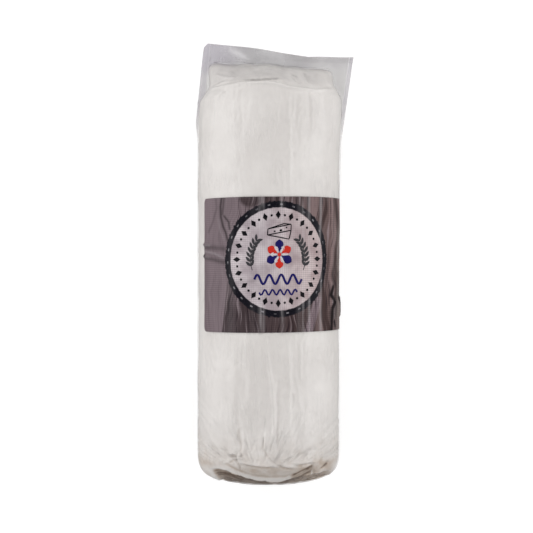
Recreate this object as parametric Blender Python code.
"""A goat cheese log of 1 kg, vacuum packed in a clear pouch, with a printed label stuck on the front.

The pack lies on its back with the label up. X runs across the log, Y along it towards the open end of
the pouch, and Z up. The origin is on the resting face, under the middle of the log.
"""

import math

import bmesh
import bpy

MM = 0.001

# The log under its film
LOG_WIDTH = 77.6 * MM
LOG_HEIGHT = 67.5 * MM
ROUNDNESS = 2.1
SEAM_HEIGHT = 33.0 * MM
PRESSED_FLAT = 2.4 * MM

# Places along the log, measured from its middle
BOTTOM_TIP = -116.6 * MM
BOTTOM_RIM = -99.0 * MM
BOTTOM_SHOULDER = -92.0 * MM
TOP_SHOULDER = 91.0 * MM
TOP_RIM = 100.8 * MM
TOP_TIP = 116.5 * MM

# The two ends of the log
TOP_NARROWING = 0.11
TOP_SIDES = (94.0 * MM, 104.5 * MM)
TOP_CORNER = 6.0 * MM
TOP_STEP = 0.07
TOP_END_CURVE = (1.3, 1.7)
BOTTOM_END_CURVE = (1.5, 1.8)
UNDER_END_CURVE = (2.2, 2.0)
UNDER_END_LENGTH = 23.0 * MM
BOTTOM_PLAN_CURVE = (5.0, 2.0)
BOTTOM_SEAL_SHARE = 0.985

# The film's seams and the loose header of the pouch past the log
SEAM_THICKNESS = 0.9 * MM
SEAM_RIDGE = 0.5 * MM
HEADER_LEFT_START = 72.0 * MM
HEADER_LEFT_TURN = 84.0 * MM
HEADER_LEFT_BULGE = 0.9 * MM
HEADER_LEFT_LEAN = 0.105
HEADER_RIGHT_START = 66.3 * MM
HEADER_RIGHT_LEAN = 0.145
HEADER_CORNER = 2.5 * MM
HEADER_LEFT_END = 127.0 * MM
HEADER_RIGHT_END = 119.4 * MM
HEADER_KNEE_X = 22.0 * MM
HEADER_FALL = 1.35
HEADER_RIPPLE = 0.9 * MM
HEADER_RIPPLE_LENGTH = 34.0 * MM
HEADER_CURL = 2.2 * MM

# The tongue of folded film over the bottom end
TONGUE_MIDDLE = 1.4 * MM
TONGUE_HALF_WIDTH = 31.0 * MM
TONGUE_SIDE = -107.5 * MM
TONGUE_RISE = 1.8 * MM
TONGUE_EDGE = 2.4 * MM

# Slow swells of the soft cheese: height, length along Y, turns round the log, phase in radians
SWELLS = [
    (0.45 * MM, 96.0 * MM, 2, 0.4),
    (0.30 * MM, 57.0 * MM, 3, 1.9),
    (0.20 * MM, 38.0 * MM, 5, 4.1),
]

# The label
LABEL_LEFT_ANGLE = 151.5
LABEL_RIGHT_ANGLE = 7.5
LABEL_BOTTOM = -30.8 * MM
LABEL_TOP = 40.5 * MM
LABEL_SKEW = 0.010
LABEL_CORNER_SHARE = 0.055
LABEL_GAP = 0.35 * MM
LABEL_THICKNESS = 0.35 * MM

# How finely the surfaces are cut into faces
RINGS = [
    (BOTTOM_TIP, BOTTOM_RIM, 11),
    (BOTTOM_RIM, TOP_RIM, 30),
    (TOP_RIM, TOP_TIP, 11),
    (TOP_TIP, HEADER_LEFT_END, 4),
]
ARC_CELLS = 32
SEAM_CELLS = 2
LABEL_CELLS_ACROSS = 26
LABEL_CELLS_ALONG = 14

CLEAR_FILM = ("clear_film", (0.86, 0.84, 0.82), 0.25)
PRINTED_LABEL = ("printed_label", (0.32, 0.27, 0.28), 0.35)


def clear_scene():
    for thing in list(bpy.data.objects):
        bpy.data.objects.remove(thing, do_unlink=True)


def smooth_step(value, start, end):
    """0 before start and 1 after end, with an even ramp between them."""
    share = min(max((value - start) / (end - start), 0.0), 1.0)
    return share * share * (3.0 - 2.0 * share)


def end_curve(share, powers):
    """1 at share 0 and 0 at share 1, on a superellipse with these two powers."""
    share = min(max(share, 0.0), 1.0)
    return max(1.0 - share ** powers[0], 0.0) ** (1.0 / powers[1])


def signed_power(value, power):
    return math.copysign(abs(value) ** power, value)


def half_width(y):
    """Half the width of the cheese at this place along the log."""
    half = LOG_WIDTH / 2
    if y < BOTTOM_SHOULDER:
        share = (BOTTOM_SHOULDER - y) / (BOTTOM_SHOULDER - BOTTOM_TIP) * BOTTOM_SEAL_SHARE
        return half * end_curve(share, BOTTOM_PLAN_CURVE)
    half *= 1.0 - TOP_NARROWING * smooth_step(y, *TOP_SIDES)
    into_corner = min(max(y - (TOP_TIP - TOP_CORNER), 0.0), TOP_CORNER) / TOP_CORNER
    return half - TOP_CORNER * (1.0 - math.sqrt(1.0 - into_corner ** 2))


def upper_height(y):
    """Height of the log's upper side over the seam."""
    full = LOG_HEIGHT - SEAM_HEIGHT
    if y < BOTTOM_RIM:
        return full * end_curve((BOTTOM_RIM - y) / (BOTTOM_RIM - BOTTOM_TIP), BOTTOM_END_CURVE)
    if y <= TOP_RIM:
        return full
    share = (y - TOP_RIM) / (TOP_TIP - TOP_RIM)
    step = 1.0 - TOP_STEP * smooth_step(share, 0.0, 0.12)
    return full * step * end_curve(share, TOP_END_CURVE)


def lower_depth(y):
    """Depth of the log's underside below the seam, before it is pressed flat."""
    from_tip = min(TOP_TIP - y, y - BOTTOM_TIP)
    share = (UNDER_END_LENGTH - from_tip) / UNDER_END_LENGTH
    return (SEAM_HEIGHT + PRESSED_FLAT) * end_curve(share, UNDER_END_CURVE)


def left_edge(y):
    """The pouch's left edge: a low ridge on the log, then the leaning side of the header."""
    ridge = half_width(y) + SEAM_RIDGE
    if y < HEADER_LEFT_START:
        return -ridge
    bulge = HEADER_LEFT_BULGE * smooth_step(y, HEADER_LEFT_START, HEADER_LEFT_TURN)
    out = LOG_WIDTH / 2 + SEAM_RIDGE + bulge - HEADER_LEFT_LEAN * max(y - HEADER_LEFT_TURN, 0.0)
    return -max(ridge, out)


def right_edge(y):
    """The pouch's right edge, which leans outwards past the shoulder."""
    ridge = half_width(y) + SEAM_RIDGE
    if y < HEADER_RIGHT_START:
        return ridge
    return max(ridge, LOG_WIDTH / 2 + SEAM_RIDGE + HEADER_RIGHT_LEAN * (y - HEADER_RIGHT_START))


def header_end(x):
    """How far the header's cut edge reaches. It falls from its round left corner, then runs level."""
    from_corner = max(x - left_edge(HEADER_LEFT_END), 0.0)
    fall = from_corner / (HEADER_KNEE_X - left_edge(HEADER_LEFT_END))
    end = HEADER_LEFT_END + (HEADER_RIGHT_END - HEADER_LEFT_END) * min(fall, 1.0) ** HEADER_FALL
    into_corner = 1.0 - min(from_corner, HEADER_CORNER) / HEADER_CORNER
    return end - HEADER_CORNER * (1.0 - math.sqrt(1.0 - into_corner ** 2))


def header_place(y, end):
    """Where a place past the tip lies once the header is drawn in to end there."""
    if y <= TOP_TIP:
        return y
    return TOP_TIP + (end - TOP_TIP) * (y - TOP_TIP) / (HEADER_LEFT_END - TOP_TIP)


def seam_height(x, y):
    """Height of the seam. It is level along the log, and the loose header ripples and lifts a little."""
    loose = smooth_step(y, TOP_SHOULDER, TOP_TIP)
    ripple = HEADER_RIPPLE * math.sin(2 * math.pi * (x + 0.4 * y) / HEADER_RIPPLE_LENGTH)
    curl = HEADER_CURL * max(y - TOP_TIP, 0.0) / (HEADER_LEFT_END - TOP_TIP)
    return SEAM_HEIGHT + loose * ripple + curl


def swell(angle, y):
    """Slow unevenness of the cheese, none at the ends or near the resting face."""
    total = 0.0
    for height, length, turns, phase in SWELLS:
        total += height * math.sin(2 * math.pi * y / length + turns * math.radians(angle) + phase)
    ends = smooth_step(y, BOTTOM_TIP, BOTTOM_SHOULDER) * (1.0 - smooth_step(y, TOP_SHOULDER, TOP_RIM))
    return total * ends * math.sin(math.radians(angle))


def tongue(x, y):
    """How far the folded tongue stands out of the bottom end: full inside its V, nothing outside."""
    across = min(abs(x - TONGUE_MIDDLE) / TONGUE_HALF_WIDTH, 1.0)
    border = TONGUE_SIDE + (BOTTOM_TIP - TONGUE_SIDE) * (1.0 - across ** 1.3)
    inside = smooth_step(y, border - TONGUE_EDGE / 2, border + TONGUE_EDGE / 2)
    begun = 1.0 - smooth_step(y, BOTTOM_RIM - TONGUE_EDGE, BOTTOM_RIM + TONGUE_EDGE)
    middle = 1.0 - smooth_step(across, 0.7, 1.0)
    return TONGUE_RISE * inside * begun * middle


def log_point(angle, y, upper):
    """A point of the film on the log. The angle runs from 0 at the right seam to 180 at the left one."""
    cosine = math.cos(math.radians(angle))
    sine = math.sin(math.radians(angle))
    height = upper_height(y) if upper else lower_depth(y)
    x = half_width(y) * signed_power(cosine, 2 / ROUNDNESS)
    rise = max(height * abs(sine) ** (2 / ROUNDNESS) + swell(angle, y), SEAM_THICKNESS / 2)
    if not upper:
        return (x, y, max(seam_height(x, y) - rise, 0.0))
    lift = tongue(x, y)
    return (x, y - 0.8 * lift, seam_height(x, y) + rise + 0.6 * lift)


def seam_point(share, y, upper, right):
    """A point on the flat seam beside the log: share 0 is at the log and 1 at the pouch's edge."""
    edge = right_edge(header_place(y, HEADER_RIGHT_END)) if right else left_edge(y)
    start = half_width(y) if right else -half_width(y)
    x = start + (edge - start) * share
    side = 1.0 if upper else -1.0
    return (x, y, seam_height(x, y) + side * SEAM_THICKNESS / 2)


def ring_places():
    """Places along the log for the rings of points, closer together towards both tips."""
    places = [BOTTOM_TIP]
    for start, end, count in RINGS:
        for step in range(1, count + 1):
            share = step / count
            if start == BOTTOM_TIP:
                share = 1.0 - math.cos(share * math.pi / 2)
            elif end == TOP_TIP:
                share = math.sin(share * math.pi / 2)
            places.append(start + (end - start) * share)
    return places


def pouch_point(column, place, upper):
    """The pouch's surface for one column of the grid, counted from the left edge to the right one."""
    if column < SEAM_CELLS:
        point = seam_point(1.0 - column / SEAM_CELLS, place, upper, right=False)
    elif column > SEAM_CELLS + ARC_CELLS:
        point = seam_point((column - SEAM_CELLS - ARC_CELLS) / SEAM_CELLS, place, upper, right=True)
    else:
        point = log_point(180.0 * (1.0 - (column - SEAM_CELLS) / ARC_CELLS), place, upper)
    x, y, z = point
    return (x, header_place(y, header_end(x)), z)


def two_sheets(name, columns, rows, place_point):
    """Two sheets of points joined round their edges, as a mesh. place_point gives each point's place."""
    bm = bmesh.new()
    bmesh.ops.create_grid(bm, x_segments=columns, y_segments=rows, size=1.0)
    spots = {v: (round((v.co.x + 1) / 2 * columns), round((v.co.y + 1) / 2 * rows)) for v in bm.verts}
    made = bmesh.ops.extrude_face_region(bm, geom=bm.faces[:])["geom"]
    upper = {g for g in made if isinstance(g, bmesh.types.BMVert)}
    for v in upper:
        spots[v] = (round((v.co.x + 1) / 2 * columns), round((v.co.y + 1) / 2 * rows))
    for v, (column, row) in spots.items():
        v.co = place_point(column, row, v in upper)
    bmesh.ops.triangulate(bm, faces=bm.faces[:])
    bmesh.ops.recalc_face_normals(bm, faces=bm.faces[:])
    mesh = bpy.data.meshes.new(name)
    bm.to_mesh(mesh)
    bm.free()
    return mesh


def label_normal(angle):
    """The log's outward direction at this angle, across the log."""
    slope_x = math.cos(math.radians(angle)) * (LOG_HEIGHT - SEAM_HEIGHT)
    slope_z = math.sin(math.radians(angle)) * LOG_WIDTH / 2
    length = math.hypot(slope_x, slope_z)
    return slope_x / length, slope_z / length


def label_point(column, row, upper):
    """The label lies on the pouch with a small gap. Its end columns are drawn in to round the corners."""
    across = column / LABEL_CELLS_ACROSS
    along = row / LABEL_CELLS_ALONG * 2.0 - 1.0
    from_side = min(across, 1.0 - across)
    if from_side < LABEL_CORNER_SHARE:
        into = 1.0 - from_side / LABEL_CORNER_SHARE
        along *= 1.0 - 1.3 * LABEL_CORNER_SHARE * (1.0 - math.sqrt(1.0 - into ** 2))
    angle = LABEL_LEFT_ANGLE + (LABEL_RIGHT_ANGLE - LABEL_LEFT_ANGLE) * across
    middle = (LABEL_TOP + LABEL_BOTTOM) / 2
    y = middle + (LABEL_TOP - LABEL_BOTTOM) / 2 * along
    x, y, z = log_point(angle, y, True)
    out = LABEL_GAP + (LABEL_THICKNESS if upper else 0.0)
    out_x, out_z = label_normal(angle)
    return (x + out_x * out, y + LABEL_SKEW * x, z + out_z * out)


def coloured(name, colour, roughness):
    material = bpy.data.materials.new(name)
    material.use_nodes = True
    shader = material.node_tree.nodes["Principled BSDF"]
    shader.inputs["Base Color"].default_value = (*colour, 1.0)
    shader.inputs["Roughness"].default_value = roughness
    shader.inputs["Metallic"].default_value = 0.0
    return material


def add_object(mesh, finish):
    thing = bpy.data.objects.new(mesh.name, mesh)
    bpy.context.scene.collection.objects.link(thing)
    mesh.materials.append(coloured(*finish))
    mesh.shade_smooth()
    mesh.set_sharp_from_angle(angle=math.radians(40))
    return thing


def make_pouch():
    """The clear pouch with the log in it, as one solid: two sheets of film, full between their seams."""
    places = ring_places()
    columns = ARC_CELLS + 2 * SEAM_CELLS
    mesh = two_sheets(
        "sealed_pouch",
        columns,
        len(places) - 1,
        lambda column, row, upper: pouch_point(column, places[row], upper),
    )
    return add_object(mesh, CLEAR_FILM)


def make_label():
    mesh = two_sheets("front_label", LABEL_CELLS_ACROSS, LABEL_CELLS_ALONG, label_point)
    return add_object(mesh, PRINTED_LABEL)


clear_scene()
make_pouch()
make_label()
